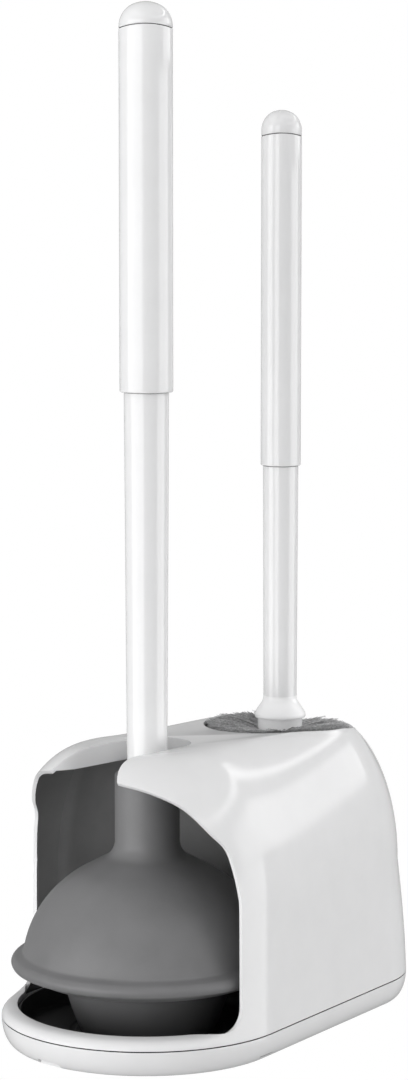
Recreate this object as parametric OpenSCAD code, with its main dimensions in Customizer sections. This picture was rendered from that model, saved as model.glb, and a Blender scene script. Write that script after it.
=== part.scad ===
// Toilet plunger with its floor caddy and matching bowl brush.
// Millimetres. Origin: centre of the footprint, on the floor. +Z up, -Y is the plunger end.

/* [Caddy] */
// Radius of the round plunger end, at the seam
front_r = 84; // [83:0.5:88]
// Radius of the round brush end, at the seam
back_r = 59; // [57:0.5:62]
// Distance between the centres of the two round ends
end_gap = 141; // [138:1:146]
// Height of the top face above the floor
caddy_h = 173; // [171:0.5:176]
// Wall thickness of the white shell
wall = 2.4; // [2:0.1:2.6]
// Height of the seam between the shell and the base
seam_z = 16.5; // [15:0.5:18]
// Height at which the shoulder starts to curve in
shoulder_z = 85; // [80:1:90]
// Inward lean of the wall below the shoulder, round the front
draft_front = 0.2; // [0:0.1:1]
// Inward lean of the side walls beside the brush
draft_waist = 1; // [0:0.1:2]
// Inward lean of the wall round the back
draft_back = 5.5; // [4:0.1:6]
// How far the shoulder curves in, round the front
shoulder_front = 51; // [46:1:52]
// How far the shoulder curves in beside the brush
shoulder_waist = 30; // [26:1:36]
// How far the shoulder curves in, round the back
shoulder_back = 47; // [44:1:50]

/* [Plunger bay] */
// Half width of the slot that the handle passes through
slot_half = 19.5; // [19.3:0.1:20.5]
// How far behind the handle the centre of the slot's round end lies
slot_end = 8; // [7:0.5:9]
// Height of the front lip
lip_z = 23; // [22:0.5:24]
// Depth of the front lip
lip_w = 9; // [8:0.5:9.5]
// Depth of the skirt that hangs below the slot
skirt_h = 10; // [6:1:12]

/* [Brush well] */
// Half width of the brush opening
well_x = 39; // [38:0.5:40]
// Half length of the brush opening
well_y = 52; // [50:0.5:53]

/* [Plunger] */
// Distance of the plunger in front of the footprint's centre
plunger_at = 58; // [57:0.5:59]
// Outer radius of the rubber cup's rim
rim_r = 78.4; // [77:0.1:78.4]
// Height of the rim's centre above the floor
rim_z = 45; // [44:0.5:47]
// Radius of the cup's neck
neck_r = 18.6; // [18:0.1:18.8]
// Radius of the plunger's grip sleeve
grip_r = 15.15; // [15:0.05:16]
// Height of the top of the plunger
plunger_h = 592; // [560:1:620]

/* [Brush] */
// Distance of the brush behind the footprint's centre
brush_at = 56; // [55:0.5:57]
// Radius of the brush's grip sleeve
brush_grip_r = 11.85; // [11.5:0.05:12.5]
// Height of the top of the brush
brush_h = 533.5; // [500:0.5:560]

/* [Hidden] */
round_fn = 96;
hull_fn = 64;
eps = 0.01;

front_y = -plunger_at;
back_y = front_y + end_gap;
seam_gap = 0.5;
foot_h = 1;
base_floor_z = 3.6;
base_inset = 8;

// Screw posts: place and turn of the web that ties each one to the shell
posts = [[51, 45, 0], [-51, 45, 180], [24, 122, 58.4], [-24, 122, 121.6]];
post_r = 4.5;
post_bottom = 6.6;
post_top = 42;
screw_r = 1.5;
screw_head_r = 3.2;

// Foot pads
feet = [[48, -90], [-48, -90], [28, 104], [-28, 104]];
foot_r = 8;

// Side outline of the open front, as distance behind the plunger's axis and height
mouth_edge = [[-51, 161], [-42.4, 157], [-32.5, 149], [-22.9, 135], [-15.8, 126], [-13, 114], [-10, 96]];
mouth_corner = 8.5;

// Brush well
well_low = [37.5, 42];
well_low_y = 67.5;
well_bend_z = 120;
well_wall = 1.6;
well_top = [35, 45];
well_top_y = 54.5;
well_top_z = 160;

// Plunger
cap_h = 15.15;
tube_low = 122;
tube_low_r = 11.4;
tube_join_z = 374.7;
tube_join_r = 12.75;
core_r = 5;
rim_bead = 4.6;
rim_mid_r = rim_r - rim_bead;
bead_z = rim_z + 3.2;
dome_r = 72;
dome_h = 66;
cup_wall = 4;
flange_top_r = 46;
flange_low_r = 38.5;
flange_wall = 3.4;
tray_floor_z = 7.4;
flange_low_z = tray_floor_z + 0.3;
neck_top = 157;
insert_r = 14;
insert_low = 119;
screw_bore = 3.3;
washer_low = 103.5;
washer_h = 2;

// Brush
brush_cap_h = 15.4;
brush_join_z = 325.5;
brush_tube_r = 10.4;
brush_low_r = 9.9;
flare_z = 186.5;
collar_z = 176;
collar_r = 14.75;
skirt_r = 13.25;
skirt_low = 168;
spindle_r = 6;
bristle_low = 22;

// The shell is drawn round three upright forms: place along the caddy, radius, lean and shoulder of each
waist_y = brush_at + 1;
waist_r = front_r + (back_r - front_r) * (waist_y - front_y) / end_gap;
front_form = [front_y, front_r, draft_front, shoulder_front];
waist_form = [waist_y, waist_r, draft_waist, shoulder_waist];
back_form = [back_y, back_r, draft_back, shoulder_back];

// How far a form of the shell has come in from the seam outline at height z
function inset(form, z) = z <= shoulder_z
    ? form[2] * pow(max(0, z - seam_z) / (shoulder_z - seam_z), 1.5)
    : form[2] + form[3] * (1 - sqrt(max(0, 1 - pow((z - shoulder_z) / (caddy_h - shoulder_z), 2))));

// Heights of the rings that make the shell, from the seam to the top face
function ring_heights(low) = concat([low, 35, 50, 68],
    [for (t = [0 : 7.5 : 90]) shoulder_z + (caddy_h - shoulder_z) * sin(t)]);

// Height of a shoulder ring on a form taken in by "thin" all over
function lowered(z, thin) = z <= shoulder_z ? z
    : shoulder_z + (z - shoulder_z) * (caddy_h - thin - shoulder_z) / (caddy_h - shoulder_z);

// Points of an oval
function oval(a, b) = [for (t = [0 : 7.5 : 352.5]) [a * cos(t), b * sin(t)]];

// One form of the shell, taken in by "thin" all over
module shell_form(form, thin, low) {
    translate([0, form[0], 0]) rotate_extrude($fn = hull_fn)
        polygon(concat([[0, low]],
            [for (z = ring_heights(low)) [form[1] - thin - inset(form, z), lowered(z, thin)]],
            [[0, caddy_h - thin]]));
}

// The whole caddy form, taken in by "thin" all over
module caddy_form(thin, low) {
    hull() {
        shell_form(front_form, thin, low);
        shell_form(waist_form, thin, low);
        shell_form(back_form, thin, low);
    }
}

// Plan of the handle's slot, grown by "grow", open and flared towards the front
module slot_plan(grow) {
    half = slot_half + grow;
    flare = 14;
    translate([0, slot_end]) circle(r = half, $fn = round_fn);
    translate([-half, -90]) square([2 * half, 90 + slot_end]);
    polygon(concat([[0, -20]],
        [for (t = [0 : 10 : 80]) [half + flare * (1 - cos(t)), -34 - 20 * sin(t)]],
        [[half + flare, -90], [-half - flare, -90]],
        [for (t = [80 : -10 : 0]) [-half - flare * (1 - cos(t)), -34 - 20 * sin(t)]]));
}

// Side outline of everything that the open front takes away
module mouth_plan() {
    corner_y = -10 - mouth_corner;
    corner_z = lip_z + mouth_corner;
    polygon(concat([[-110, 185], [-60, 185], [-54, 161.5]], mouth_edge,
        [for (t = [0 : 15 : 90]) [corner_y + mouth_corner * cos(t), corner_z - mouth_corner * sin(t)]],
        [[-110, lip_z]]));
}

// Front lip, a quarter round that follows the front of the shell
module lip_ring() {
    low = seam_z + seam_gap / 2;
    rotate_extrude($fn = round_fn)
        polygon(concat([[front_r - lip_w, low]],
            [for (t = [0 : 10 : 90]) [front_r - lip_w + lip_w * cos(t), low + (lip_z - low) * sin(t)]]));
}

// Plan of the brush opening
module well_plan(grow) {
    polygon(oval(well_x + grow, well_y + grow));
}

// White outer shell: walls, shoulder, slot with its skirt, brush opening, front lip and screw posts
module caddy_shell() {
    color("white") {
        difference() {
            caddy_form(0, seam_z + seam_gap / 2);
            difference() {
                caddy_form(wall, seam_z + seam_gap / 2 - eps);
                translate([0, front_y, caddy_h - skirt_h]) linear_extrude(skirt_h + 1) slot_plan(2.2);
                for (p = posts) shell_post(p);
            }
            translate([0, front_y, caddy_h - skirt_h - 5]) linear_extrude(skirt_h + 6) slot_plan(0);
            translate([0, brush_at, 130]) linear_extrude(60) well_plan(0);
            translate([100, front_y, 0]) rotate([90, 0, -90]) mirror([1, 0, 0]) linear_extrude(200) mouth_plan();
            for (p = posts) translate([p[0], p[1], 0]) cylinder(r = screw_r + 0.05, h = 30, $fn = 32);
        }
        difference() {
            translate([0, front_y, 0]) lip_ring();
            translate([-100, front_y - 10, 0]) cube([200, 200, 60]);
        }
    }
}

// One post for a base screw, with its web to the shell's wall
module shell_post(p) {
    translate([p[0], p[1], post_bottom]) {
        cylinder(r = post_r, h = post_top - post_bottom, $fn = 48);
        rotate([0, 0, p[2]]) translate([0, -1, seam_z - post_bottom + 2]) cube([16, 2, 22]);
    }
}

// One round end of the base, curved under at the bottom
module base_end(r) {
    low = foot_h;
    high = seam_z - seam_gap / 2;
    rotate_extrude($fn = hull_fn)
        polygon(concat([[0, low]],
            [for (t = [0 : 11.25 : 90]) [r - base_inset * (1 - sin(t)), low + (high - low) * (1 - cos(t))]],
            [[0, high]]));
}

// White base that closes the caddy from below
module base_tray() {
    inner = base_inset - 1.5;
    color("whitesmoke") difference() {
        union() {
            difference() {
                hull() {
                    translate([0, front_y, 0]) base_end(front_r);
                    translate([0, back_y, 0]) base_end(back_r);
                }
                hull() {
                    translate([0, front_y, base_floor_z]) cylinder(r = front_r - inner, h = 30, $fn = hull_fn);
                    translate([0, back_y, base_floor_z]) cylinder(r = back_r - inner, h = 30, $fn = hull_fn);
                }
            }
            for (p = posts) translate([p[0], p[1], foot_h + 0.5]) cylinder(r = 6.5, h = 5, $fn = 48);
        }
        for (p = posts) translate([p[0], p[1], 0]) {
            cylinder(r = screw_r + 0.3, h = 20, $fn = 32);
            cylinder(r = screw_head_r + 0.3, h = foot_h + 2.6, $fn = 48);
        }
        for (f = feet) translate([f[0], f[1], -1]) cylinder(r = foot_r, h = foot_h + 2.2, $fn = 48);
        translate([0, front_y - front_r + base_inset / 2, foot_h]) rotate([90, 0, 0]) finger_notch();
    }
}

// Small notch under the front edge, for a fingertip
module finger_notch() {
    translate([0, 0, -8]) linear_extrude(16) scale(0.5) circle(r = 7, $fn = 48);
    translate([-8, -4, -8]) cube([16, 5.5, 16]);
}

// Dark wall behind the plunger, curved over its top
module bay_liner() {
    low = seam_z + 0.5;
    thick = 1.6;
    outer = wall + 0.6;
    inner = outer + thick;
    heights = concat([low, 45, 68], [for (t = [0 : 10 : 60]) shoulder_z + (caddy_h - shoulder_z) * sin(t)]);
    color("dimgray") translate([0, front_y, 0]) rotate([0, 0, 14])
        rotate_extrude(angle = 152, $fn = round_fn)
            polygon(concat([for (z = heights) [front_r - outer - inset(front_form, z), lowered(z, outer)]],
                [for (i = [len(heights) - 1 : -1 : 0])
                    [front_r - inner - inset(front_form, heights[i]), lowered(heights[i], inner)]]));
}

// Black dish on the bay's floor that the plunger stands in
module drip_tray() {
    out_r = 74.2;
    color("#1c1c1c") translate([0, front_y, 0]) rotate_extrude($fn = round_fn)
        polygon([[0, base_floor_z], [out_r - 4, base_floor_z], [out_r, base_floor_z + 4], [out_r, 20.5],
            [out_r - 1.4, 20.5], [out_r - 1.6, base_floor_z + 5], [out_r - 5, tray_floor_z], [0, tray_floor_z]]);
}

// The upper stretch of the brush well, which leans forward under its opening
module well_neck(thin, high) {
    hull() {
        translate([0, well_low_y, well_bend_z - 1]) linear_extrude(1)
            polygon(oval(well_low[0] - thin, well_low[1] - thin));
        translate([0, well_top_y, high - 1]) linear_extrude(1)
            polygon(oval(well_top[0] - thin, well_top[1] - thin));
    }
}

// Dark well that holds the brush and catches its drips
module brush_cup() {
    low = base_floor_z + 0.2;
    color("#3a3a3c") difference() {
        union() {
            translate([0, well_low_y, low]) linear_extrude(well_bend_z - low)
                polygon(oval(well_low[0], well_low[1]));
            well_neck(0, well_top_z);
        }
        translate([0, well_low_y, low + 3]) linear_extrude(well_bend_z - low - 3.5)
            polygon(oval(well_low[0] - well_wall, well_low[1] - well_wall));
        well_neck(well_wall, well_top_z + 1);
    }
}

// Four rubber pads that the caddy stands on
module foot_pads() {
    color("#2b2b2b") for (f = feet) translate([f[0], f[1], 0]) {
        cylinder(r1 = foot_r - 0.9, r2 = foot_r - 0.3, h = foot_h, $fn = 48);
        translate([0, 0, foot_h]) cylinder(r = foot_r - 0.3, h = 1.2, $fn = 48);
    }
}

// Four screws that hold the base to the shell's posts
module base_screws() {
    head_low = foot_h + 0.4;
    color("silver") for (p = posts) translate([p[0], p[1], head_low]) difference() {
        union() {
            cylinder(r = screw_head_r, h = 2.2, $fn = 48);
            cylinder(r = screw_r, h = 20, $fn = 32);
        }
        for (a = [0, 90]) rotate([0, 0, a]) translate([-2, -0.4, -1]) cube([4, 0.8, 2.1]);
    }
}

// Rubber cup: neck, dome, rim bead and the web inside the rim
module plunger_cup() {
    color("#6f6f71") translate([0, front_y, 0]) rotate_extrude($fn = round_fn)
        polygon(concat(
            // bore of the neck, closed below by the seat of the washer
            [[insert_r, neck_top - 7], [tube_low_r + 0.25, neck_top - 7], [tube_low_r + 0.25, neck_top - 0.8],
                [tube_low_r + 1, neck_top], [neck_r - 1.5, neck_top], [neck_r, neck_top - 1.5]],
            // outside: neck, fillet, dome
            [for (t = [0 : 15 : 75]) [neck_r + 11 * (1 - cos(t)), 116 - 11 * sin(t)]],
            [for (t = [64 : -7 : 8]) [dome_r * cos(t), rim_z + dome_h * sin(t)]],
            // rim bead
            [for (t = [110 : -20 : -90]) [rim_mid_r + rim_bead * cos(t), bead_z + rim_bead * sin(t)]],
            // web under the rim that the flange hangs from
            [[62, rim_z - 4.6], [flange_top_r, rim_z - 4.6], [flange_top_r, rim_z - 0.6], [62, rim_z]],
            // inside of the dome
            [for (t = [4 : 8 : 68]) [(dome_r - cup_wall - 0.5) * cos(t), rim_z + (dome_h - cup_wall) * sin(t)]],
            [[12.5, washer_low + washer_h], [screw_bore, washer_low + washer_h], [screw_bore, insert_low],
                [insert_r, insert_low]]));
}

// Rubber flange that folds down below the rim, bonded to the cup's web
module cup_flange() {
    top = rim_z - 4.6;
    color("#5f5f61") translate([0, front_y, 0]) rotate_extrude($fn = round_fn)
        polygon([[flange_top_r + 3, top], [flange_top_r, top - 3], [flange_low_r + 0.8, flange_low_z + 1.5],
            [flange_low_r, flange_low_z], [flange_low_r - flange_wall + 0.6, flange_low_z],
            [flange_low_r - flange_wall, flange_low_z + 0.8], [flange_top_r - flange_wall, top - 2],
            [flange_top_r, top]]);
}

// Hard plug moulded into the neck, bored for the tube and for the screw
module neck_insert() {
    color("#d8d8da") translate([0, front_y, insert_low]) rotate_extrude($fn = round_fn)
        polygon([[screw_bore, 0], [insert_r, 0], [insert_r, 31], [tube_low_r + 0.05, 31],
            [tube_low_r + 0.05, tube_low - insert_low], [screw_bore, tube_low - insert_low]]);
}

// Steel washer under the dome that spreads the screw's pull
module cup_washer() {
    color("silver") translate([0, front_y, washer_low]) difference() {
        cylinder(r = 11, h = washer_h, $fn = round_fn);
        translate([0, 0, -1]) cylinder(r = 2.6, h = 4, $fn = 48);
    }
}

// Screw that holds the cup on the end of the handle
module cup_screw() {
    color("silver") translate([0, front_y, 0]) difference() {
        union() {
            translate([0, 0, 100.3]) cylinder(r1 = 3.6, r2 = 5, h = 3.2, $fn = 48);
            translate([0, 0, washer_low]) cylinder(r = 2.5, h = 44, $fn = 48);
        }
        for (a = [0, 90]) rotate([0, 0, a]) translate([-2.8, -0.5, 99]) cube([5.6, 1, 2.6]);
    }
}

// White tapered tube of the plunger, from the neck up inside the grip
module plunger_tube() {
    top = plunger_h - 24;
    color("white") translate([0, front_y, 0]) rotate_extrude($fn = round_fn)
        polygon([[2.55, tube_low], [tube_low_r, tube_low], [tube_low_r, neck_top + 1], [tube_join_r, tube_join_z],
            [tube_join_r - 0.2, top], [tube_join_r - 2.2, top], [tube_join_r - 2.6, 172],
            [core_r + 0.05, 166], [core_r + 0.05, 150], [2.55, 150]]);
}

// Steel stiffening rod inside the plunger's tube
module plunger_core() {
    color("silver") translate([0, front_y, 150]) cylinder(r = core_r, h = plunger_h - 40 - 150, $fn = 48);
}

// Everything above a seam that arches up to the front and the back of a grip of radius r
module above_arch(r, z) {
    arch = 2.4 * r;
    difference() {
        translate([-30, -30, z]) cube([60, 60, 40]);
        translate([0, 0, z - sqrt(arch * arch - r * r)]) rotate([0, 0, 43]) rotate([90, 0, 0])
            cylinder(r = arch, h = 90, center = true, $fn = 128);
    }
}

// A grip sleeve with a plain lower rim and an arched upper edge
module grip_sleeve(r, inner_r, low, seam) {
    difference() {
        rotate_extrude($fn = round_fn)
            polygon([[inner_r + 0.05, low], [r - 0.5, low], [r, low + 0.6], [r, seam + 8],
                [inner_r + 0.05, seam + 8]]);
        above_arch(r, seam);
    }
}

// A domed cap that closes a grip, cut below to the same arch
module grip_cap(r, inner_r, seam, top) {
    difference() {
        rotate_extrude($fn = round_fn)
            polygon(concat([[0, seam - 0.5], [inner_r, seam - 0.5], [inner_r, seam], [r, seam]],
                [for (t = [0 : 7.5 : 90]) [r * cos(t), top - r + r * sin(t)]]));
        difference() {
            translate([0, 0, seam]) cylinder(r = r + 1, h = 8, $fn = round_fn);
            translate([0, 0, seam - 1]) cylinder(r = inner_r, h = 10, $fn = round_fn);
            above_arch(r, seam + 0.25);
        }
    }
}

// White grip sleeve of the plunger
module plunger_grip() {
    color("white") translate([0, front_y, 0]) grip_sleeve(grip_r, tube_join_r, tube_join_z, plunger_h - cap_h);
}

// White domed cap of the plunger's grip
module plunger_cap() {
    color("whitesmoke") translate([0, front_y, 0])
        grip_cap(grip_r, tube_join_r, plunger_h - cap_h, plunger_h);
}

// Body of bristles round the spindle, widest at the top
module brush_bristles() {
    color("#9a9a9c") translate([0, brush_at, 0]) rotate_extrude($fn = round_fn)
        polygon([[spindle_r + 0.05, 166], [29, 167], [31.5, 164], [32, 150], [28.4, 122], [28, 50],
            [25, 34], [18, bristle_low + 3], [8, bristle_low], [spindle_r + 0.05, bristle_low]]);
}

// White spindle that carries the bristles
module brush_spindle() {
    color("whitesmoke") translate([0, brush_at, 0]) rotate_extrude($fn = round_fn)
        polygon([[0, bristle_low - 3], [3, bristle_low - 3], [spindle_r, bristle_low], [spindle_r, 184],
            [2.1, 184], [2.1, 160], [0, 160]]);
}

// White flared collar between the tube and the bristles, with a scalloped lower edge
module brush_collar() {
    teeth = 10;
    color("white") translate([0, brush_at, 0]) difference() {
        rotate_extrude($fn = round_fn)
            polygon(concat([[spindle_r + 0.05, skirt_low], [skirt_r, skirt_low], [skirt_r, collar_z - 1],
                    [collar_r, collar_z], [collar_r, collar_z + 0.8]],
                [for (t = [15 : 15 : 90])
                    [collar_r - (collar_r - brush_low_r) * sin(t),
                        collar_z + 1 + (flare_z - collar_z - 1) * (1 - cos(t))]],
                [[brush_low_r - 1.9, flare_z], [brush_low_r - 1.9, 184.1], [spindle_r + 0.05, 184.1]]));
        for (i = [0 : teeth - 1]) rotate([0, 0, 360 * (i + 0.5) / teeth]) translate([skirt_r - 5, 0, skirt_low])
            rotate([45, 0, 0]) translate([0, -2.2, -2.2]) cube([12, 4.4, 4.4]);
    }
}

// White tapered tube of the brush
module brush_tube() {
    top = brush_h - 22;
    color("white") translate([0, brush_at, 0]) rotate_extrude($fn = round_fn)
        polygon([[brush_low_r - 2, 184.2], [brush_low_r - 2, flare_z + 0.1], [brush_low_r, flare_z + 0.1],
            [brush_tube_r, brush_join_z], [brush_tube_r - 0.2, top], [brush_tube_r - 2, top],
            [brush_tube_r - 2.2, 230], [brush_low_r - 4, 222], [brush_low_r - 4, 200], [2.1, 200], [2.1, 184.2]]);
}

// Steel stiffening rod inside the brush's tube
module brush_core() {
    color("silver") translate([0, brush_at, 222]) cylinder(r = 4, h = brush_h - 36 - 222, $fn = 48);
}

// White grip sleeve of the brush
module brush_grip() {
    color("white") translate([0, brush_at, 0])
        grip_sleeve(brush_grip_r, brush_tube_r, brush_join_z, brush_h - brush_cap_h);
}

// White domed cap of the brush's grip
module brush_cap() {
    color("whitesmoke") translate([0, brush_at, 0])
        grip_cap(brush_grip_r, brush_tube_r, brush_h - brush_cap_h, brush_h);
}

// Screw that joins the spindle to the brush's tube
module brush_screw() {
    color("silver") translate([0, brush_at, 160.5]) {
        cylinder(r = 2, h = 41, $fn = 48);
        translate([0, 0, 39.6]) cylinder(r = 3.8, h = 2.4, $fn = 48);
    }
}

caddy_shell();
base_tray();
bay_liner();
drip_tray();
brush_cup();
foot_pads();
base_screws();
plunger_cup();
cup_flange();
neck_insert();
cup_washer();
cup_screw();
plunger_tube();
plunger_core();
plunger_grip();
plunger_cap();
brush_bristles();
brush_spindle();
brush_collar();
brush_tube();
brush_core();
brush_grip();
brush_cap();
brush_screw();
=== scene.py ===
"""White floor caddy with a flanged rubber plunger and a bowl brush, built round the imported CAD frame.

Lengths below are in millimetres and become metres when a mesh is made. X runs across the caddy,
-Y is the plunger end, Z is up and z = 0 is the floor.
"""
import math

import bmesh
import bpy
import numpy as np
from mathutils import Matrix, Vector
from mathutils.kdtree import KDTree


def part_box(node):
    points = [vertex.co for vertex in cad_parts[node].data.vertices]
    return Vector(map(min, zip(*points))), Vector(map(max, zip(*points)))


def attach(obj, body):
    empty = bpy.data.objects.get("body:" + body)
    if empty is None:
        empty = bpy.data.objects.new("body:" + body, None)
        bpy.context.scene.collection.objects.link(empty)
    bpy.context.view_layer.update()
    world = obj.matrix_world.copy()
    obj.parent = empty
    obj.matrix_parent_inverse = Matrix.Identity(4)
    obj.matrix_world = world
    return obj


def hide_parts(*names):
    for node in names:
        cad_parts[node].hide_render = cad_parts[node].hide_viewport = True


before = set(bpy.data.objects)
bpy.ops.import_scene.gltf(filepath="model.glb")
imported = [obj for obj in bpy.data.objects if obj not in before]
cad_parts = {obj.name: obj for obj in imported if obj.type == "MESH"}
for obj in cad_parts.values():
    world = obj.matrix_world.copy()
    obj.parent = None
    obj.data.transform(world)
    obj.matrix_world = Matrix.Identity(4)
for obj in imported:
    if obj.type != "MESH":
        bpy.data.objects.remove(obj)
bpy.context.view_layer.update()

MM = 0.001
RNG = np.random.default_rng(7)


def box_mm(node):
    """Lowest and highest corner of a CAD node, in millimetres."""
    lo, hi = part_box(node)
    return Vector(lo) / MM, Vector(hi) / MM


# ---- Sizes, from the frame wherever a node's box gives them ----
SHELL_HI = box_mm("caddy_shell")[1]
TUBE_LO, TUBE_HI = box_mm("plunger_tube")
CUP_HI = box_mm("plunger_cup")[1]
GRIP_LO, GRIP_HI = box_mm("plunger_grip")
CAP_HI = box_mm("plunger_cap")[1]
BRUSH_GRIP_LO, BRUSH_GRIP_HI = box_mm("brush_grip")
BRUSH_CAP_HI = box_mm("brush_cap")[1]
TRAY_LO, TRAY_HI = box_mm("drip_tray")
WELL_LO, WELL_HI = box_mm("brush_cup")

PLUNGER_Y = (TUBE_LO.y + TUBE_HI.y) / 2
BRUSH_Y = (BRUSH_GRIP_LO.y + BRUSH_GRIP_HI.y) / 2
FRONT_R = SHELL_HI.x
BACK_R = 59.0
BACK_Y = SHELL_HI.y - BACK_R
END_GAP = BACK_Y - PLUNGER_Y
CADDY_H = SHELL_HI.z
WALL = 2.4
SEAM_Z = 16.5
SEAM_GAP = 0.7
FOOT_H = 1.0

# ---- Shell form ----
SHOULDER_Z = 85.0
# Lean of the wall and width of the shoulder: round the front, beside the brush and round the back
FRONT_FORM, WAIST_FORM, BACK_FORM = (0.2, 51.0), (1.0, 30.0), (5.5, 47.0)
WAIST_AT = (BRUSH_Y + 1 - PLUNGER_Y) / END_GAP
# Length of outline over which the form beside the brush turns into the one round the back
BACK_BLEND = 56.0
SLOT_HALF = 19.5
SLOT_END = 8.0
FLARE = 14.0
MOUTH_BACK = -10.5
LIP_Z = 23.0
LIP_W = 9.0
SKIRT_LOW = CADDY_H - 11.5
WELL_X = 39.0
WELL_Y = 52.0
LEAN = math.asin((FRONT_R - BACK_R) / END_GAP)
# The camera stands this far round to the right of the front, in degrees
VIEW_TURN = 43


# ---- Where the shell's surface lies ----
def form_at(t, a):
    """Lean and shoulder width of the shell at share t of its straight side and angle a of its outline."""
    along = (t - WAIST_AT) * END_GAP
    if along <= 0:
        start, end, share = WAIST_FORM, FRONT_FORM, min(1.0, -along / (WAIST_AT * END_GAP))
    else:
        bend = min(abs(a - LEAN), abs(math.pi - LEAN - a))
        start, end, share = WAIST_FORM, BACK_FORM, min(1.0, (along + BACK_R * bend) / BACK_BLEND)
    share = share * share * (3 - 2 * share)
    return tuple(p + (q - p) * share for p, q in zip(start, end))


def inset(form, z):
    """How far the shell has come in from the seam outline at height z."""
    lean, shoulder = form
    if z <= SHOULDER_Z:
        return lean * (max(0.0, z - SEAM_Z) / (SHOULDER_Z - SEAM_Z)) ** 1.5
    s = min(1.0, (z - SHOULDER_Z) / (CADDY_H - SHOULDER_Z))
    return lean + shoulder * (1 - math.sqrt(1 - s * s))


def surface_z(x, y):
    """Height of the shell's top surface over a point of the plan."""
    X, Y = abs(x), y - PLUNGER_Y
    length = END_GAP * math.cos(LEAN)
    along = Y * math.cos(LEAN) - X * math.sin(LEAN)
    if along < 0:
        inside, form = FRONT_R - math.hypot(X, Y), form_at(0, LEAN)
    elif along > length:
        inside, form = BACK_R - math.hypot(X, Y - END_GAP), form_at(1, math.atan2(Y - END_GAP, X))
    else:
        inside, form = FRONT_R - (X * math.cos(LEAN) + Y * math.sin(LEAN)), form_at(along / length, LEAN)
    c = min(1.0, max(0.0, (inside - form[0]) / form[1]))
    return SHOULDER_Z + (CADDY_H - SHOULDER_Z) * math.sqrt(1 - (1 - c) ** 2)


# ---- Small mesh tools ----
def fillet(points, steps=5):
    """Rounds an outline's corners. Each point is (x, y) or (x, y, corner radius)."""
    out = []
    for i, p in enumerate(points):
        radius = p[2] if len(p) > 2 else 0
        if not radius:
            out.append((p[0], p[1]))
            continue
        before, here = Vector(points[i - 1][:2]), Vector(p[:2])
        after = Vector(points[(i + 1) % len(points)][:2])
        u, v = (before - here).normalized(), (after - here).normalized()
        half = u.angle(v) / 2
        reach = min(radius / math.tan(half), (before - here).length * 0.49, (after - here).length * 0.49)
        radius = reach * math.tan(half)
        middle = here + (u + v).normalized() * (radius / math.sin(half))
        start, end = here + u * reach - middle, here + v * reach - middle
        first = math.atan2(start.y, start.x)
        sweep = math.atan2(start.x * end.y - start.y * end.x, start.dot(end))
        for k in range(steps + 1):
            t = first + sweep * k / steps
            out.append((middle.x + radius * math.cos(t), middle.y + radius * math.sin(t)))
    return out


def smooth_line(points, per_span=8):
    """A smooth curve through a few points."""
    pts = [Vector(p) for p in points]
    pts = [2 * pts[0] - pts[1]] + pts + [2 * pts[-1] - pts[-2]]
    out = []
    for a, b, c, d in zip(pts, pts[1:], pts[2:], pts[3:]):
        for k in range(per_span):
            t = k / per_span
            out.append(tuple(0.5 * (2 * b + (c - a) * t + (2 * a - 5 * b + 4 * c - d) * t ** 2
                                    + (3 * b - a - 3 * c + d) * t ** 3)))
    out.append(tuple(pts[-2]))
    return out


def new_object(name, verts, faces, materials=()):
    """A mesh object from points in millimetres."""
    mesh = bpy.data.meshes.new(name)
    mesh.from_pydata([tuple(c * MM for c in v) for v in verts], [], faces)
    for m in materials:
        mesh.materials.append(m)
    mesh.validate()
    obj = bpy.data.objects.new(name, mesh)
    bpy.context.scene.collection.objects.link(obj)
    return obj


def edit(obj, change):
    """Runs change(bm) on an object's mesh."""
    bm = bmesh.new()
    bm.from_mesh(obj.data)
    change(bm)
    bm.to_mesh(obj.data)
    bm.free()
    obj.data.update()


def shade(obj, sharp=40.0):
    """Smooth shading with hard edges where faces meet at more than "sharp" degrees."""
    def change(bm):
        bmesh.ops.recalc_face_normals(bm, faces=bm.faces)
        for f in bm.faces:
            f.smooth = True
        for e in bm.edges:
            e.smooth = len(e.link_faces) == 2 and e.calc_face_angle(0) < math.radians(sharp)
    edit(obj, change)


def settle(obj):
    """Applies an object's modifiers to its mesh."""
    mesh = bpy.data.meshes.new_from_object(obj.evaluated_get(bpy.context.evaluated_depsgraph_get()))
    obj.modifiers.clear()
    obj.data = mesh


def bevel_edges(obj, width, angle=50.0, segments=3):
    """Rounds the hard edges of a mesh."""
    def change(bm):
        hard = [e for e in bm.edges if len(e.link_faces) == 2 and e.calc_face_angle(0) > math.radians(angle)]
        bmesh.ops.bevel(bm, geom=hard, offset=width * MM, segments=segments, profile=0.5,
                        affect="EDGES", clamp_overlap=True)
    edit(obj, change)


def finish_piece(obj, body, slot, *nodes):
    """Rides a piece on its body and hides the CAD nodes that it stands for. The finish's name, slot, is not
    used.
    """
    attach(obj, body)
    if nodes:
        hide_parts(*nodes)


def lathe(name, outline, at_y, material, segments=144, closed=False, lift=None, sharp=40.0):
    """Turns an outline of (radius, height) about a vertical axis. lift(r, z, angle) adds height."""
    verts, faces, rings = [], [], []
    for r, z in outline:
        if r < 1e-6:
            rings.append([len(verts)] * segments)
            verts.append((0, at_y, z))
            continue
        rings.append(list(range(len(verts), len(verts) + segments)))
        for k in range(segments):
            a = 2 * math.pi * k / segments
            rise = lift(r, z, a) if lift else 0
            verts.append((r * math.cos(a), at_y + r * math.sin(a), z + rise))
    pairs = list(zip(rings, rings[1:])) + ([(rings[-1], rings[0])] if closed else [])
    for low, high in pairs:
        for k in range(segments):
            j = (k + 1) % segments
            ring = list(dict.fromkeys((low[k], low[j], high[j], high[k])))
            if len(ring) > 2:
                faces.append(ring)
    obj = new_object(name, verts, faces, [material])
    shade(obj, sharp)
    return obj


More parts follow.
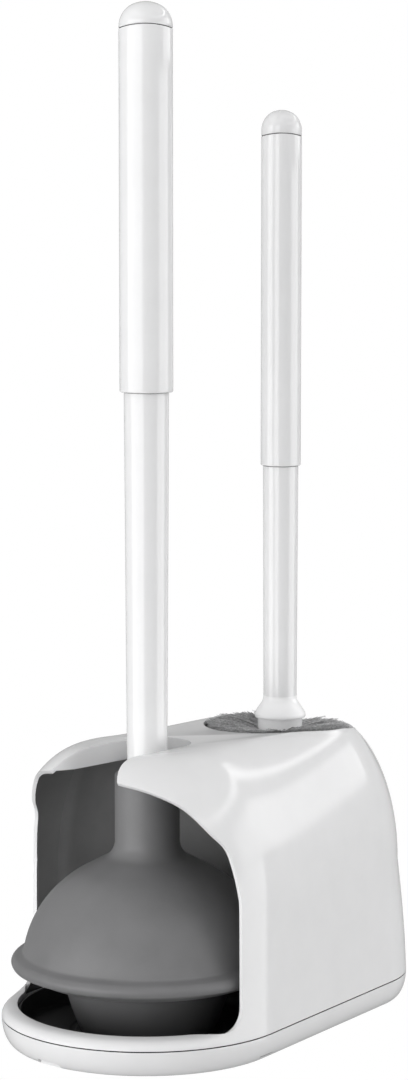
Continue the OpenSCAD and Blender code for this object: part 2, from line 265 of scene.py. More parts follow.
def loft(name, rings, materials, cap_low=None, cap_high=None):
    """Joins closed rings of points. A cap is the material index of the face that closes an end."""
    verts = [p for ring in rings for p in ring]
    n = len(rings[0])
    faces = [(i * n + k, i * n + (k + 1) % n, (i + 1) * n + (k + 1) % n, (i + 1) * n + k)
             for i in range(len(rings) - 1) for k in range(n)]
    indices = [0] * len(faces)
    if cap_low is not None:
        faces.append(tuple(reversed(range(n))))
        indices.append(cap_low)
    if cap_high is not None:
        faces.append(tuple(range(len(verts) - n, len(verts))))
        indices.append(cap_high)
    obj = new_object(name, verts, faces, materials)
    obj.data.polygons.foreach_set("material_index", indices)
    return obj


def prism(name, points, low, high, place, materials, index):
    """Extrudes a closed outline between two values. place(u, v, w) gives the point in space."""
    area = sum(a[0] * b[1] - b[0] * a[1] for a, b in zip(points, points[1:] + points[:1]))
    if area < 0:
        points = points[::-1]
    rings = [[place(u, v, w) for u, v in points] for w in (low, high)]
    obj = loft(name, rings, materials, index, index)
    obj.data.polygons.foreach_set("material_index", [index] * len(obj.data.polygons))
    edit(obj, lambda bm: bmesh.ops.recalc_face_normals(bm, faces=bm.faces))
    return obj


def cut(target, cutter):
    """Takes one solid away from another and drops the cutter."""
    mod = target.modifiers.new("cut", "BOOLEAN")
    mod.operation, mod.solver, mod.object = "DIFFERENCE", "EXACT", cutter
    settle(target)
    bpy.data.objects.remove(cutter)


# ---- Materials ----
def material(name, color, roughness, rough_vary=0.04, grain=900.0, bump=0.03, tone=0.03, metallic=0.0,
             specular=0.5, coarse=60.0):
    """A procedural surface: fine bump, and slow changes of tone and roughness."""
    mat = bpy.data.materials.new(name)
    mat.use_nodes = True
    nodes, links = mat.node_tree.nodes, mat.node_tree.links
    shader = nodes["Principled BSDF"]
    shader.inputs["Metallic"].default_value = metallic
    shader.inputs["Specular IOR Level"].default_value = specular
    where = nodes.new("ShaderNodeTexCoord").outputs["Object"]

    def noise(scale, detail):
        node = nodes.new("ShaderNodeTexNoise")
        node.inputs["Scale"].default_value = scale
        node.inputs["Detail"].default_value = detail
        links.new(where, node.inputs["Vector"])
        return node.outputs["Fac"]

    def remap(value, low, high):
        node = nodes.new("ShaderNodeMapRange")
        node.inputs["From Min"].default_value, node.inputs["From Max"].default_value = 0.3, 0.7
        node.inputs["To Min"].default_value, node.inputs["To Max"].default_value = low, high
        links.new(value, node.inputs["Value"])
        return node.outputs["Result"]

    broad, fine = noise(coarse, 3), noise(grain, 2)
    blend = nodes.new("ShaderNodeMix")
    blend.data_type = "RGBA"
    blend.inputs["A"].default_value = (*[c * (1 - tone) for c in color], 1)
    blend.inputs["B"].default_value = (*[min(1, c * (1 + tone)) for c in color], 1)
    links.new(remap(broad, 0, 1), blend.inputs["Factor"])
    links.new(blend.outputs["Result"], shader.inputs["Base Color"])
    links.new(remap(broad, roughness - rough_vary, roughness + rough_vary), shader.inputs["Roughness"])
    relief = nodes.new("ShaderNodeBump")
    relief.inputs["Strength"].default_value = bump
    relief.inputs["Distance"].default_value = 0.1 * MM
    links.new(fine, relief.inputs["Height"])
    links.new(relief.outputs["Normal"], shader.inputs["Normal"])
    return mat


WHITE = material("white_gloss_plastic", (0.78, 0.78, 0.785), 0.11, rough_vary=0.02, tone=0.012, bump=0.02,
                 specular=0.27)
HANDLE = material("white_handle_plastic", (0.80, 0.80, 0.805), 0.04, rough_vary=0.01, tone=0.012,
                  bump=0.012)
COLLAR = material("white_collar_plastic", (0.93, 0.93, 0.935), 0.2, rough_vary=0.02, tone=0.01, bump=0.02)
RUBBER = material("grey_rubber", (0.172, 0.172, 0.175), 0.46, grain=1600, bump=0.35, tone=0.05, specular=0.4)
# Painted shade: the flange is the cup's own grey rubber, painted darker for the shade under the rim
FLANGE_SHADE = material("flange_rubber_painted_shade", (0.095, 0.095, 0.097), 0.55, grain=1600, bump=0.35, tone=0.05,
                  specular=0.4)
LINER = material("dark_liner_plastic", (0.22, 0.22, 0.222), 0.55, grain=1400, bump=0.25, tone=0.06)
# Painted shade: the white shell's inner face, painted grey for the shade inside the shell
INSIDE_SHADE = material("shell_inside_painted_shade", (0.29, 0.29, 0.292), 0.55, grain=1400, bump=0.2, tone=0.05)
TRAY = material("black_tray_plastic", (0.042, 0.042, 0.043), 0.6, grain=1400, bump=0.2, tone=0.08)
FOOT = material("black_foot_rubber", (0.03, 0.03, 0.03), 0.7, grain=1500, bump=0.4, tone=0.1)
SHADOW = material("seam_shadow", (0.025, 0.025, 0.026), 0.7, grain=1500, bump=0.3, tone=0.1, specular=0.2)
STEEL = material("zinc_steel", (0.62, 0.62, 0.63), 0.32, grain=2500, bump=0.15, tone=0.04, metallic=1.0)
FILAMENT = material("grey_filament", (0.44, 0.44, 0.445), 0.45, grain=3000, bump=0.1, tone=0.45, coarse=700)
# Painted shade: a dark body deep among the bristles, standing in for the shade between them
BRISTLE_SHADE = material("bristle_painted_shade", (0.10, 0.10, 0.102), 0.8, grain=1500, bump=0.8, tone=0.4, coarse=900)


# ---- Caddy ----
def rail(sides=40, back=72, front=130):
    """Round the caddy, anticlockwise from the right: centre's y, radius, angle and share of the side."""
    spots = []
    half_turn, turn = math.pi, 2 * math.pi
    for k in range(sides):
        t = k / sides
        spots.append((PLUNGER_Y + END_GAP * t, FRONT_R + (BACK_R - FRONT_R) * t, LEAN, t))
    for k in range(back):
        spots.append((BACK_Y, BACK_R, LEAN + (half_turn - 2 * LEAN) * k / back, 1))
    for k in range(sides):
        t = 1 - k / sides
        spots.append((PLUNGER_Y + END_GAP * t, FRONT_R + (BACK_R - FRONT_R) * t, half_turn - LEAN, t))
    for k in range(front):
        a = half_turn - LEAN + (half_turn + 2 * LEAN) * k / front
        spots.append((PLUNGER_Y, FRONT_R, a % turn, 0))
    return spots


def ring_at(z, taken=None):
    """One ring of the caddy's outline, taken in evenly or, for the shell, by its own form."""
    ring = []
    for y, r, a, t in rail():
        d = inset(form_at(t, a), z) if taken is None else taken
        ring.append(((r - d) * math.cos(a), y + (r - d) * math.sin(a), z))
    return ring


def slot_side():
    """Right edge of the slot, from the middle of its round end to the flared mouth, about the plunger."""
    line = [(SLOT_HALF * math.sin(math.radians(t)), SLOT_END + SLOT_HALF * math.cos(math.radians(t)))
            for t in range(0, 91, 6)]
    line += [(SLOT_HALF, SLOT_END - (SLOT_END + 34) * k / 8) for k in range(1, 8)]
    line += [(SLOT_HALF + FLARE * (1 - math.cos(math.radians(t))), -34 - 20 * math.sin(math.radians(t)))
             for t in range(0, 85, 6)]
    return line


def mouth_outline():
    """Side view of what the open front takes away: distance behind the plunger's axis, and height."""
    corner = 13.0
    edge = smooth_line([(-51, 161.5), (-42.4, 157), (-32.5, 149), (-22.9, 135), (-15.8, 126), (-13, 114),
                        (MOUTH_BACK, 96)], 6)
    turn = [(MOUTH_BACK - corner + corner * math.cos(t), LIP_Z + corner - corner * math.sin(t))
            for t in np.radians(range(0, 91, 9)).tolist()]
    return [(-110, 190), (-62, 190), (-56, 162.5)] + edge + turn + [(-110, LIP_Z)]


def lip_inset(y, z):
    """How far the front lip curls in, at a point of the low front band."""
    ahead = (-14 - (y - PLUNGER_Y)) / 26
    w = min(1.0, max(0.0, ahead))
    w = w * w * (3 - 2 * w)
    low = SEAM_Z + SEAM_GAP / 2
    s = min(1.0, max(0.0, (z - low) / (LIP_Z - low)))
    return w * LIP_W * (1 - math.sqrt(1 - s * s))


def weld_to_rim(bm, reach):
    """Draws points that lie very near the open edge onto it, so that the edge can be rounded cleanly."""
    rim = [v for v in bm.verts if v.is_boundary]
    tree = KDTree(len(rim))
    for i, v in enumerate(rim):
        tree.insert(v.co, i)
    tree.balance()
    pairs = {}
    for v in bm.verts:
        if not v.is_boundary:
            _, i, away = tree.find(v.co)
            if away < reach:
                pairs[v] = rim[i]
    bmesh.ops.weld_verts(bm, targetmap=pairs)
    bmesh.ops.dissolve_degenerate(bm, dist=0.15 * MM, edges=bm.edges)
    rim = [v for v in bm.verts if v.is_boundary]
    bmesh.ops.remove_doubles(bm, verts=rim, dist=reach * 0.5)
    bmesh.ops.dissolve_degenerate(bm, dist=0.15 * MM, edges=bm.edges)


def shell_skin():
    """The white shell as one smooth sheet with thickness, its openings cut and their edges rounded."""
    marks = [WHITE, INSIDE_SHADE, FOOT]
    low = SEAM_Z + SEAM_GAP / 2
    heights = [low + (LIP_Z - low) * math.sin(math.radians(t)) for t in range(0, 90, 11)]
    heights += [LIP_Z + 0.4] + [26 + 5.9 * k for k in range(10)]
    heights += [SHOULDER_Z + (CADDY_H - SHOULDER_Z) * math.sin(math.radians(t)) for t in range(0, 91, 3)]
    obj = loft("shell_skin", [ring_at(z) for z in heights], marks, 2, 0)
    edit(obj, lambda bm: bmesh.ops.recalc_face_normals(bm, faces=bm.faces))
    cut(obj, prism("mouth", mouth_outline(), -100, 100, lambda y, z, x: (x, PLUNGER_Y + y, z), marks, 1))
    side = slot_side()
    plan = [(-x, y) for x, y in reversed(side)] + side[1:]
    plan = [(plan[0][0], -90)] + plan + [(plan[-1][0], -90)]
    cut(obj, prism("slot", plan, 150, 200, lambda x, y, z: (x, PLUNGER_Y + y, z), marks, 1))
    oval = [(WELL_X * math.cos(a), WELL_Y * math.sin(a)) for a in np.linspace(0, 2 * math.pi, 120, False)]
    cut(obj, prism("well", oval, 130, 200, lambda x, y, z: (x, BRUSH_Y + y, z), marks, 1))

    def open_sheet(bm):
        bmesh.ops.delete(bm, geom=[f for f in bm.faces if f.material_index != 0], context="FACES")
        weld_to_rim(bm, 1.0 * MM)
        for v in bm.verts:
            x, y, z = v.co / MM
            if z < LIP_Z + 12 and y < PLUNGER_Y - 10:
                z_lip = LIP_Z if abs(z - LIP_Z) < 0.05 else z
                out = Vector((x, y - PLUNGER_Y, 0))
                v.co -= out.normalized() * lip_inset(y, z_lip) * MM
    edit(obj, open_sheet)
    # The wall's inner face takes the second finish, grey painted shade inside the shell
    thick = obj.modifiers.new("thickness", "SOLIDIFY")
    thick.thickness, thick.offset = WALL * MM, -1
    thick.use_even_offset, thick.material_offset = False, 1
    settle(obj)
    bevel_edges(obj, 0.75)
    shade(obj, 35)
    finish_piece(obj, "caddy", "white_shell", "caddy_shell")


def slot_skirt():
    """The skirt that hangs below the slot's edge."""
    right = slot_side()
    line = [(-x, y) for x, y in reversed(right)] + right[1:]
    line = [p for p in line if surface_z(p[0], p[1] + PLUNGER_Y) > SKIRT_LOW + 1.2]
    thick = 2.2
    rings = []
    for i, (x, y) in enumerate(line):
        before, after = line[max(i - 1, 0)], line[min(i + 1, len(line) - 1)]
        along = Vector((after[0] - before[0], after[1] - before[1])).normalized()
        out = Vector((-along.y, along.x))
        top = surface_z(x, y + PLUNGER_Y) - 1.0
        low = min(SKIRT_LOW, top - 0.15)
        inner = Vector((x, y)) - out * 0.02
        section = fillet([(0, top), (0, low, 0.6), (thick, low, 0.6), (thick, top)], 4)
        rings.append([(inner.x + out.x * d, PLUNGER_Y + inner.y + out.y * d, z) for d, z in section])
    obj = loft("slot_skirt", rings, [WHITE], 0, 0)
    shade(obj, 40)
    finish_piece(obj, "caddy", "white_shell")


def base_skin():
    """The white base: curved under, with a hidden tongue behind the seam and a finger notch in front."""
    high = SEAM_Z - SEAM_GAP / 2
    rings = []
    for t in range(0, 91, 6):
        a = math.radians(t)
        rings.append(ring_at(FOOT_H + (high - FOOT_H) * (1 - math.cos(a)), 8 * (1 - math.sin(a))))
    rings += [ring_at(high - 0.02, 0.15), ring_at(high, 0.4), ring_at(high, WALL + 0.3),
              ring_at(high + 2.4, WALL + 0.3), ring_at(high + 2.4, WALL + 2.2), ring_at(6, 7.5)]
    obj = loft("base_skin", rings, [WHITE, SHADOW], 0, 0)
    count = len(rings[0])
    # The ledge and the tongue behind the seam are painted dark, painted shade in the seam's gap
    first, end = (len(rings) - 5) * count, (len(rings) - 2) * count
    for face in obj.data.polygons[first:end]:
        face.material_index = 1
    notch = fillet([(-9.5, -1), (-8, 4.4, 1.6), (8, 4.4, 1.6), (9.5, -1)], 4)
    cut(obj, prism("notch", notch, -160, -135.5, lambda x, z, y: (x, y, z), [WHITE], 0))
    shade(obj, 40)
    finish_piece(obj, "caddy", "white_shell", "base_tray")


def bay_back():
    """The dark wall behind the plunger, an arc that curves over with the shoulder and tapers at its ends."""
    first, last, steps = 5, 175, 96
    outer = WALL + 0.5
    thick = 1.6
    heights = [4.0, 25, 45, 65] + [SHOULDER_Z + (CADDY_H - SHOULDER_Z) * math.sin(math.radians(t))
                                   for t in range(0, 61, 5)]
    section = [(FRONT_R - outer - inset(FRONT_FORM, z), z) for z in heights]
    section += [(r - thick, z) for r, z in reversed(section)]
    rings = []
    for k in range(steps + 1):
        a = math.radians(first + (last - first) * k / steps)
        thin = 1 - min(1.0, (min(k, steps - k) + 0.2) / 3)
        ring = section[:len(heights)] + [(r + thin * thick, z) for r, z in section[len(heights):]]
        rings.append([(r * math.cos(a), PLUNGER_Y + r * math.sin(a), z) for r, z in ring])
    obj = loft("bay_back", rings, [LINER], 0, 0)
    shade(obj, 40)
    finish_piece(obj, "caddy", "dark_liner", "bay_liner")


def tray_dish():
    """The black dish that the plunger stands in."""
    r, low, high, floor = TRAY_HI.x, TRAY_LO.z, TRAY_HI.z, 7.4
    outline = fillet([(0, low), (r - 4, low, 2), (r, low + 4, 2), (r, high, 0.5), (r - 1.4, high, 0.5),
                      (r - 1.6, low + 5, 3), (r - 5, floor, 3), (45, floor, 0.6), (44, floor - 0.6, 0.4),
                      (42, floor - 0.6, 0.4), (41, floor, 0.6), (0, floor)])
    finish_piece(lathe("tray_dish", outline, PLUNGER_Y, TRAY), "caddy", "black_tray", "drip_tray")


def well_cup():
    """The dark well that the brush stands in."""
    thick, count, bend = 1.6, 96, 120.0
    low = WELL_LO.z
    # Height, half width, half length and centre's y of each station
    stations = [(low, 33, 37, 67.5), (low + 1.2, 36, 40.4, 67.5), (low + 4.5, 37.5, 42, 67.5),
                (60, 37.5, 42, 67.5), (bend - 4, 37.5, 42, 67.3), (bend + 4, 37.3, 42.2, 66.7),
                (140, 36.3, 43.5, 61.2), (WELL_HI.z, 35, 45, 54.5)]
    inner = [(max(z, low + 3), a - thick, b - thick, y) for z, a, b, y in stations]

    def ring(z, a, b, y):
        return [(a * math.cos(t), y + b * math.sin(t), z) for t in np.linspace(0, 2 * math.pi, count, False)]
    rings = [ring(*s) for s in stations] + [ring(*s) for s in reversed(inner)]
    obj = loft("well_cup", rings, [LINER], 0, 0)
    shade(obj, 45)
    finish_piece(obj, "caddy", "dark_liner", "brush_cup")


# ---- Plunger ----
def rubber_cup():
    """The rubber cup: neck, dome, flared rim and the inner flange that folds down below it."""
    bore, rim_z = 11.75, 45.0
    neck_r, neck_top = 18.6, CUP_HI.z
    dome_r, dome_h, cup_wall = 72.0, 66.0, 4.0
    low = box_mm("cup_flange")[0].z
    neck = [(bore, 118), (bore, neck_top - 1), (bore + 0.8, neck_top)]
    neck += fillet([(bore, neck_top), (neck_r, neck_top, 1.4), (neck_r, 120)], 6)[1:-1]
    neck += [(neck_r, 150), (neck_r, 140), (neck_r, 130)]
    neck += [(neck_r + 11 * (1 - math.cos(t)), 118 - 11 * math.sin(t)) for t in np.radians(range(0, 71, 7))]
    dome = [(dome_r * math.cos(t), rim_z + dome_h * math.sin(t)) for t in np.radians(range(62, 8, -3))]
    rim = smooth_line([(71.2, rim_z + 10.4), (71.9, rim_z + 8.6), (73.6, rim_z + 7.6), (76.4, rim_z + 6.3),
                       (78.1, rim_z + 4.2), (78.2, rim_z + 2.0), (76.9, rim_z - 0.2), (74.2, rim_z - 1.4)], 4)
    web = [(71, rim_z - 2.2), (68, rim_z - 3.8), (66, rim_z - 5.0), (58, rim_z - 4.6), (53, rim_z - 5.0)]
    flange = smooth_line([(50.0, rim_z - 6.2), (48.0, rim_z - 10), (44.8, 24), (41.2, 14),
                          (38.9, low + 1.6)], 3)
    flange += fillet([(39, low + 3), (38.5, low, 1.2), (35.1, low, 1.2), (35.6, low + 3)], 4)[1:-1]
    flange += smooth_line([(35.5, low + 2), (37.4, 14), (40, 24), (42.2, 36), (44.5, rim_z - 2.4)], 3)
    inside = [(50, rim_z - 1), (60, rim_z), (66, rim_z + 2.5), (67.4, rim_z + 6)]
    inside += [((dome_r - cup_wall - 0.5) * math.cos(t), rim_z + (dome_h - cup_wall) * math.sin(t))
               for t in np.radians(range(8, 80, 4))]
    inside += [(9, 105.6), (3.4, 105.6), (3.4, 118)]
    outline = neck + dome + rim + web + flange + inside
    obj = lathe("rubber_cup", outline, PLUNGER_Y, RUBBER, 192, closed=True, sharp=60)
    # The flange's faces take the darker rubber, painted shade under the rim
    obj.data.materials.append(FLANGE_SHADE)
    for face in obj.data.polygons:
        x, y, z = face.center / MM
        if z < rim_z - 5.2 and math.hypot(x, y - PLUNGER_Y) < 51:
            face.material_index = 1
    finish_piece(obj, "plunger", "grey_rubber", "plunger_cup", "cup_flange")


def arch(r, angle, size):
    """Extra height of a seam that arches up to the front and the back of a grip, at one angle."""
    across = math.cos(angle - math.radians(VIEW_TURN))
    reach = 3.6 * size
    return math.sqrt(reach * reach - (r * across) ** 2) - math.sqrt(reach * reach - size * size)


def handle(name, at_y, body, tube, grip_low, grip_r, seam, top, nodes):
    """A tapered tube, its grip sleeve and a domed cap, with a ring of painted shadow at each seam."""
    tube_low, tube_low_r, tube_join_r = tube
    tube_top = top - 24
    inner = tube_join_r + 0.1
    gap = 0.4
    dome_low = max(top - grip_r, seam + 1.2)

    def arched(r, z, angle):
        return arch(r, angle, grip_r) if z > seam - 4 else 0

    def cap_lift(r, z, angle):
        fade = max(0.0, 1 - max(0.0, z - seam - 1) / (top - seam - 1))
        return arched(r, z, angle) * fade

    shaft = [(tube_low_r + (tube_join_r - tube_low_r) * k / 12, tube_low + (grip_low - tube_low) * k / 12)
             for k in range(13)]
    shaft = [(0, tube_low)] + shaft + [(tube_join_r, tube_top), (0, tube_top)]
    finish_piece(lathe(name + "_tube_skin", shaft, at_y, HANDLE, 96), body, "white_handle", nodes[0])

    sleeve = [(inner, grip_low + 1.2), (inner, grip_low + 0.5), (inner + 0.4, grip_low)]
    sleeve += fillet([(inner, grip_low), (grip_r, grip_low, 0.7), (grip_r, grip_low + 20)], 5)[1:-1]
    sleeve += [(grip_r, grip_low + (seam - grip_low) * k / 8) for k in range(1, 8)]
    sleeve += [(grip_r, seam - 0.5), (grip_r - 0.08, seam - 0.2), (grip_r - 0.3, seam), (inner + 0.5, seam)]
    grip_skin = lathe(name + "_grip_skin", sleeve, at_y, HANDLE, 128, lift=arched)
    finish_piece(grip_skin, body, "white_handle", nodes[1])

    cap = [(0, seam - 2), (grip_r - 1.2, seam - 2), (grip_r - 1.2, seam + gap), (grip_r - 0.3, seam + gap),
           (grip_r - 0.08, seam + gap + 0.2), (grip_r, seam + gap + 0.5)]
    cap += [(grip_r * math.cos(t), dome_low + (top - dome_low) * math.sin(t))
            for t in np.radians(range(5, 90, 5))] + [(0, top)]
    cap_skin = lathe(name + "_cap_skin", cap, at_y, HANDLE, 128, lift=cap_lift)
    finish_piece(cap_skin, body, "white_handle", nodes[2])

    # A ring of painted shadow fills the gap between the grip and the cap
    groove = [(grip_r - 1.1, seam - 0.7), (grip_r - 0.28, seam - 0.7), (grip_r - 0.28, seam + gap + 0.7),
              (grip_r - 1.1, seam + gap + 0.7)]
    ring = lathe(name + "_cap_gap_shadow", groove, at_y, SHADOW, 96, closed=True, lift=arched)
    finish_piece(ring, body, "white_handle")

    # A thin ring of painted shadow on the tube, just below the grip's lower edge
    tube_r = tube_join_r + 0.03
    foot = [(tube_r - 1, grip_low - 0.35), (tube_r, grip_low - 0.35), (grip_r - 0.7, grip_low + 0.25),
            (tube_r - 1, grip_low + 0.25)]
    finish_piece(lathe(name + "_grip_gap_shadow", foot, at_y, SHADOW, 96, closed=True), body, "white_handle")


# ---- Brush ----
def brush_neck():
    """The flared collar with its stepped lip and uneven lower edge."""
    lip_r, sleeve_r, bore = 15.2, 13.25, 6.1
    flare = smooth_line([(9.9, 188), (9.95, 186.6), (10.9, 184), (13.4, 180.2), (14.9, 177.6),
                         (lip_r, 176.6)], 5)
    outline = flare + [(lip_r, 175.6), (lip_r - 0.2, 175.2), (13.8, 175.1), (sleeve_r, 174.9),
                       (sleeve_r, 171), (sleeve_r, 168), (12.4, 167.8), (12.2, 171), (bore, 172), (bore, 187),
                       (7.8, 188)]

    def uneven(r, z, angle):
        if z > 170:
            return 0
        return 0.9 * math.sin(5 * angle + 0.6) + 0.7 * math.sin(9 * angle) + 0.5 * math.sin(17 * angle + 1)
    obj = lathe("brush_neck", outline, BRUSH_Y, COLLAR, 192, closed=True, lift=uneven)
    finish_piece(obj, "brush", "white_handle", "brush_collar")


def filaments(name, starts, tips, radii, sag):
    """Thin tapered three-sided filaments in one mesh."""
    count = len(starts)
    steps = 4
    t = np.linspace(0, 1, steps)[None, :, None]
    line = starts[:, None, :] * (1 - t) + tips[:, None, :] * t
    line[:, :, 2] += (sag[:, None] * (t[:, :, 0] * (1 - t[:, :, 0])) * 4)
    along = tips - starts
    along /= np.linalg.norm(along, axis=1)[:, None]
    u = np.cross(along, (0.0, 0.0, 1.0))
    u /= np.linalg.norm(u, axis=1)[:, None] + 1e-9
    v = np.cross(along, u)
    verts = np.zeros((count, steps, 3, 3))
    for k in range(3):
        a = 2 * math.pi * k / 3
        side = (math.cos(a) * u + math.sin(a) * v)[:, None, :]
        taper = np.array([1.0, 0.95, 0.85, 0.45])[None, :, None]
        verts[:, :, k, :] = line + side * radii[:, None, None] * taper
    base = np.arange(count)[:, None, None] * (steps * 3)
    seg = np.arange(steps - 1)[None, :, None] * 3
    k = np.arange(3)[None, None, :]
    j = (k + 1) % 3
    quads = np.stack([base + seg + k, base + seg + j, base + seg + 3 + j, base + seg + 3 + k], axis=-1)
    tip = (np.arange(count) * steps * 3 + (steps - 1) * 3)[:, None] + np.arange(3)[None, :]
    faces = quads.reshape(-1, 4).tolist() + tip.tolist()
    obj = new_object(name, verts.reshape(-1, 3).tolist(), faces, [FILAMENT])
    obj.data.polygons.foreach_set("use_smooth", [True] * len(obj.data.polygons))
    return obj


def envelope(z):
    """Radius of the bristle body at height z."""
    return np.interp(z, [22, 26, 34, 50, 118, 146, 158], [13, 20, 25, 28, 28.2, 31.5, 32])


def brush_head():
    """The bristles: a dense radial body, and a splayed top layer that fills the opening."""
    spindle = 6.0
    # Outline of a dark body of painted shade deep inside the bristles
    depth = [(spindle, 26), (17, 27), (21, 36), (23.5, 52), (24, 118), (26, 146), (26, 157), (20, 161),
             (spindle, 163)]
    core = lathe("bristle_shade_body", depth, BRUSH_Y, BRISTLE_SHADE, 96, closed=True)
    finish_piece(core, "brush", "bristle", "brush_bristles")
    body = 15000
    z0 = RNG.uniform(27, 158, body)
    angle = RNG.uniform(0, 2 * math.pi, body)
    z1 = z0 + RNG.normal(0, 1.6, body) - 1.5
    reach = envelope(z1) * RNG.uniform(0.93, 1.0, body)
    wander = angle + RNG.normal(0, 0.03, body)
    root = 18.0
    starts = np.stack([root * np.cos(angle), BRUSH_Y + root * np.sin(angle), z0], axis=1)
    tips = np.stack([reach * np.cos(wander), BRUSH_Y + reach * np.sin(wander), z1], axis=1)
    obj = filaments("bristles_body", starts, tips, RNG.uniform(0.26, 0.36, body), RNG.normal(0.3, 0.3, body))
    finish_piece(obj, "brush", "bristle")

    top = 7000
    angle = RNG.uniform(0, 2 * math.pi, top)
    share = RNG.uniform(0.0, 1.0, top)
    wander = angle + RNG.normal(0, 0.05, top)
    oval = 1 / np.sqrt((np.cos(wander) / (WELL_X - 1.5)) ** 2 + (np.sin(wander) / (WELL_Y - 1.5)) ** 2)
    reach = oval * RNG.uniform(0.90, 1.0, top)
    edge = np.array([surface_z(oval[i] * math.cos(wander[i]), BRUSH_Y + oval[i] * math.sin(wander[i]))
                     for i in range(top)])
    # Tips stay clear of the shell where its edge slopes, and above the rim of the well
    reach -= 0.45 * np.clip(CADDY_H - 1 - edge, 0, 6)
    above_well = WELL_HI.z + 2.8
    root = 9.0
    z0 = 159 + 7 * share
    z1 = np.maximum(edge - 7 + 7.5 * share + RNG.normal(0, 0.7, top), above_well + share)
    starts = np.stack([root * np.cos(angle), BRUSH_Y + root * np.sin(angle), z0], axis=1)
    tips = np.stack([reach * np.cos(wander), BRUSH_Y + reach * np.sin(wander), z1], axis=1)
    obj = filaments("bristles_top", starts, tips, RNG.uniform(0.26, 0.38, top), RNG.normal(0.8, 0.7, top))
    finish_piece(obj, "brush", "bristle")


# ---- CAD nodes that stay as they are, with better materials ----
def dress_nodes():
    """Gives each CAD node that stays its own finish."""
    finishes = {"foot_pads": FOOT, "base_screws": STEEL, "cup_washer": STEEL, "cup_screw": STEEL,
                "plunger_core": STEEL, "brush_core": STEEL, "brush_screw": STEEL, "neck_insert": HANDLE,
                "brush_spindle": HANDLE}
    for node, finish in finishes.items():
        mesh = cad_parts[node].data
        if not mesh.materials:
            mesh.materials.append(finish)
        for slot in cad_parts[node].material_slots:
            slot.material = finish


# ---- Studio ----
# Strength of the surrounding below, at the horizon and overhead
GREY_LOW, GREY_MID, GREY_HIGH = 0.25, 0.36, 0.66
# Soft boxes: left and right edge as turned from the camera's direction, lowest and highest elevation, all
# in degrees, and strength
SOFT_BOXES = (
    (-84, -14, -20, 18, 3.1),
    (58, 108, -20, 3, 2.7),
    (83, 128, 4, 22, 2.6),
    (30, 150, 31, 35, 4.2),
    (-110, 20, 44, 60, 0.7),
)


def backdrop_only(obj):
    """Leaves a stage piece to the camera alone: it doesn't light the object or show in its gloss."""
    obj.visible_diffuse = obj.visible_glossy = obj.visible_transmission = obj.visible_shadow = False


def glow(name, strength):
    """A white stage surface that shines by itself."""
    mat = bpy.data.materials.new(name)
    mat.use_nodes = True
    shader = mat.node_tree.nodes["Principled BSDF"]
    shader.inputs["Base Color"].default_value = (0, 0, 0, 1)
    shader.inputs["Roughness"].default_value = 1.0
    shader.inputs["Specular IOR Level"].default_value = 0.0
    shader.inputs["Emission Color"].default_value = (1, 1, 1, 1)
    shader.inputs["Emission Strength"].default_value = strength
    return mat


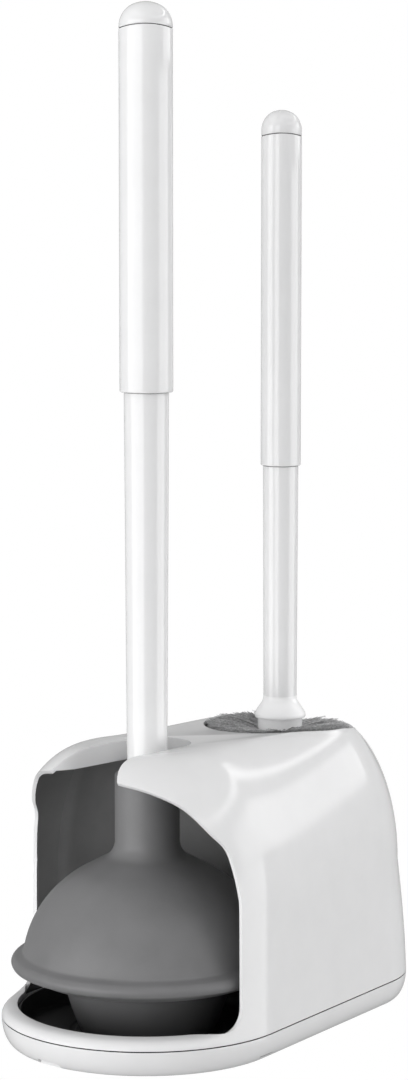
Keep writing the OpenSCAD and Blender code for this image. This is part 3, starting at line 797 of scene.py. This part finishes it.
def studio_world():
    """A soft grey surrounding with soft boxes to both sides of the camera and a lighter ceiling."""
    world = bpy.data.worlds.new("studio_world")
    bpy.context.scene.world = world
    world.use_nodes = True
    nodes, links = world.node_tree.nodes, world.node_tree.links

    def put(socket, value):
        if hasattr(value, "links"):
            links.new(value, socket)
        else:
            socket.default_value = value

    def math_node(operation, *values):
        node = nodes.new("ShaderNodeMath")
        node.operation = operation
        for socket, value in zip(node.inputs, values):
            put(socket, value)
        return node.outputs["Value"]

    def ramp(value, low, high, start, end):
        node = nodes.new("ShaderNodeMapRange")
        node.interpolation_type = "SMOOTHSTEP"
        put(node.inputs["Value"], value)
        for name, number in (("From Min", low), ("From Max", high), ("To Min", start), ("To Max", end)):
            node.inputs[name].default_value = number
        return node.outputs["Result"]

    def soft_box(turn, rise, left, right, low, high, strength, soft=2.0):
        window = math_node("MULTIPLY", ramp(turn, left - soft, left + soft, 0, 1),
                           ramp(turn, right - soft, right + soft, 1, 0))
        column = math_node("MULTIPLY", ramp(rise, low - soft, low + soft, 0, 1),
                           ramp(rise, high - soft, high + soft, 1, 0))
        return math_node("MULTIPLY", math_node("MULTIPLY", window, column), strength)

    split = nodes.new("ShaderNodeSeparateXYZ")
    links.new(nodes.new("ShaderNodeTexCoord").outputs["Generated"], split.inputs[0])
    x, y, z = split.outputs

    def along(degrees):
        """How far the direction points along a level direction, given in degrees from +X."""
        heading = math.radians(degrees)
        return math_node("ADD", math_node("MULTIPLY", x, math.cos(heading)),
                         math_node("MULTIPLY", y, math.sin(heading)))
    turn = math_node("DEGREES", math_node("ARCTAN2", along(VIEW_TURN), along(VIEW_TURN - 90)))
    rise = math_node("DEGREES", math_node("ARCSINE", z))
    light = math_node("ADD", ramp(rise, -40, 0, GREY_LOW, GREY_MID),
                      ramp(rise, 0, 70, 0, GREY_HIGH - GREY_MID))
    for left, right, low, high, strength in SOFT_BOXES:
        light = math_node("ADD", light, soft_box(turn, rise, left, right, low, high, strength))
    background = nodes["Background"]
    background.inputs["Color"].default_value = (1, 1, 1, 1)
    links.new(light, background.inputs["Strength"])


def studio():
    """A white floor and surrounding for the camera, lit by the soft boxes of the world."""
    far, height, count = 11500, 9000, 96
    circle = [(far * math.cos(t), far * math.sin(t)) for t in np.linspace(0, 2 * math.pi, count, False)]
    paper = glow("studio_white", 1.0)
    backdrop_only(new_object("studio_floor", [(x, y, 0) for x, y in circle], [tuple(range(count))], [paper]))
    wall = [(x, y, z) for z in (0, height) for x, y in circle]
    sides = [(k, (k + 1) % count, count + (k + 1) % count, count + k) for k in range(count)]
    ceiling = tuple(range(count, 2 * count))
    backdrop_only(new_object("studio_wall", wall, sides + [ceiling], [paper]))
    studio_world()
    bpy.context.scene.view_settings.view_transform = "Standard"


def camera():
    """The photograph's viewpoint: to the right of the front, and 6.7 degrees down."""
    azimuth, pitch = math.radians(VIEW_TURN), math.radians(6.7)
    data = bpy.data.cameras.new("view_camera")
    data.sensor_width, data.lens = 36.0, 106.67
    data.clip_start, data.clip_end = 0.05, 50
    obj = bpy.data.objects.new("view_camera", data)
    obj.location = (1.2513, -1.3523, 0.5021)
    level = math.cos(pitch)
    forward = Vector((-math.sin(azimuth) * level, math.cos(azimuth) * level, -math.sin(pitch)))
    obj.rotation_mode = "QUATERNION"
    obj.rotation_quaternion = forward.to_track_quat("-Z", "Y")
    bpy.context.scene.collection.objects.link(obj)
    bpy.context.scene.camera = obj


camera()
studio()
shell_skin()
slot_skirt()
base_skin()
bay_back()
tray_dish()
well_cup()
rubber_cup()
handle("plunger", PLUNGER_Y, "plunger", (TUBE_LO.z, 11.3, 12.75), GRIP_LO.z, GRIP_HI.x, CAP_HI.z - 15.15,
       CAP_HI.z, ("plunger_tube", "plunger_grip", "plunger_cap"))
handle("brush", BRUSH_Y, "brush", (184.3, 9.85, 10.4), BRUSH_GRIP_LO.z, BRUSH_GRIP_HI.x,
       BRUSH_CAP_HI.z - 15.4, BRUSH_CAP_HI.z, ("brush_tube", "brush_grip", "brush_cap"))
brush_neck()
brush_head()
dress_nodes()
